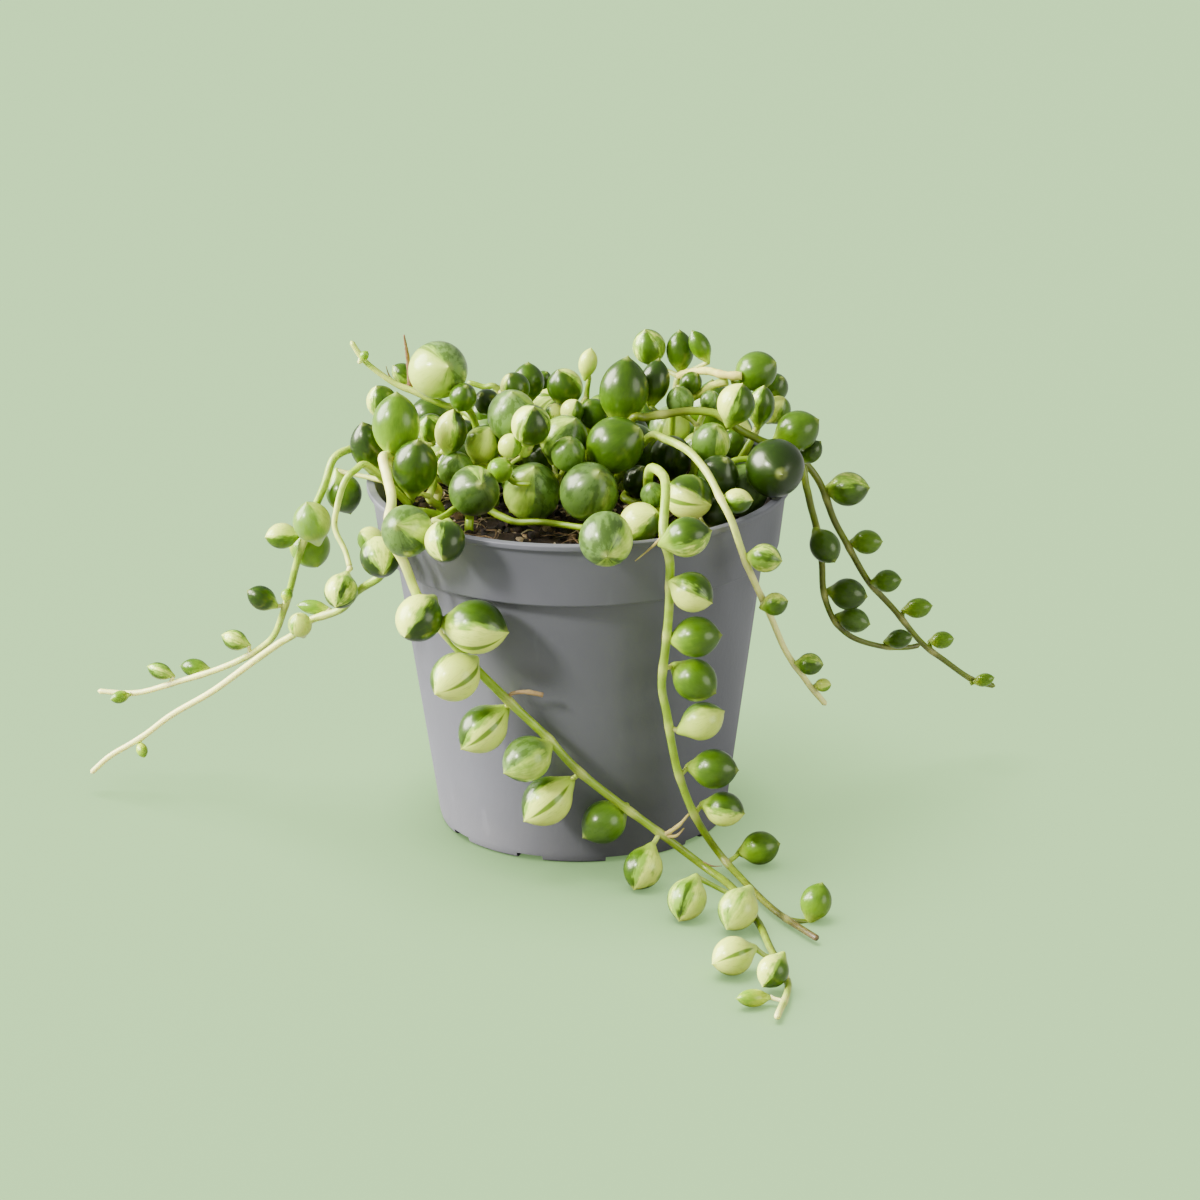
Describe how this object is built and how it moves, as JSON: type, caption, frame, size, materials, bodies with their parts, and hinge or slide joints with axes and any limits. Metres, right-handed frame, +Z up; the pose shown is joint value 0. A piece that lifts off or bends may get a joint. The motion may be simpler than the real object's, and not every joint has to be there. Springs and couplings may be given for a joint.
{
  "type": "potted string of watermelons",
  "caption": "Small round nursery pot of soil with a trailing succulent: cream-striped bead-like leaves on short stalks, heaped over the soil and hanging on thin stems over the rim.",
  "frame": {"origin": "middle of the pot's foot, on the surface it stands on", "axes": "+Z up, front of the plant towards -Y, +X to the right as seen from the front"},
  "size_m": [0.133, 0.1165, 0.069],
  "materials": {
    "pot": "grey moulded plastic, faintly rough, with a thin bright lip",
    "soil": "dark crumbly potting soil with fibres",
    "leafy": "waxy, half glossy leaves, green with cream sectors, on yellow-green stems"
  },
  "bodies": {
    "root": {"pot": "pot", "soil": "soil", "stem_arch_right_outer": "leafy", "stem_back_1": "leafy", "stem_back_2": "leafy", "stem_back_3": "leafy", "stem_back_4": "leafy", "stem_cream_tip": "leafy", "stem_crown_left": "leafy", "stem_flower_bud": "leafy", "stem_front_left_long": "leafy", "stem_front_left_runner": "leafy", "stem_front_right_long": "leafy", "stem_front_runner": "leafy", "stem_growing_tip": "leafy", "stem_inner_1": "leafy", "stem_inner_2": "leafy", "stem_inner_3": "leafy", "stem_left_heap": "leafy", "stem_left_inner": "leafy", "stem_left_lower": "leafy", "stem_left_outer": "leafy", "stem_left_side": "leafy", "stem_middle": "leafy", "stem_middle_left": "leafy", "stem_middle_right": "leafy", "stem_over_back_1": "leafy", "stem_over_back_2": "leafy", "stem_over_back_3": "leafy", "stem_right_back": "leafy", "stem_right_front": "leafy", "stem_right_inner": "leafy", "stem_right_low": "leafy", "stem_right_middle": "leafy", "stem_right_over_rim": "leafy", "stem_shaded": "leafy", "stem_top_right": "leafy"}
  },
  "joints": []
}
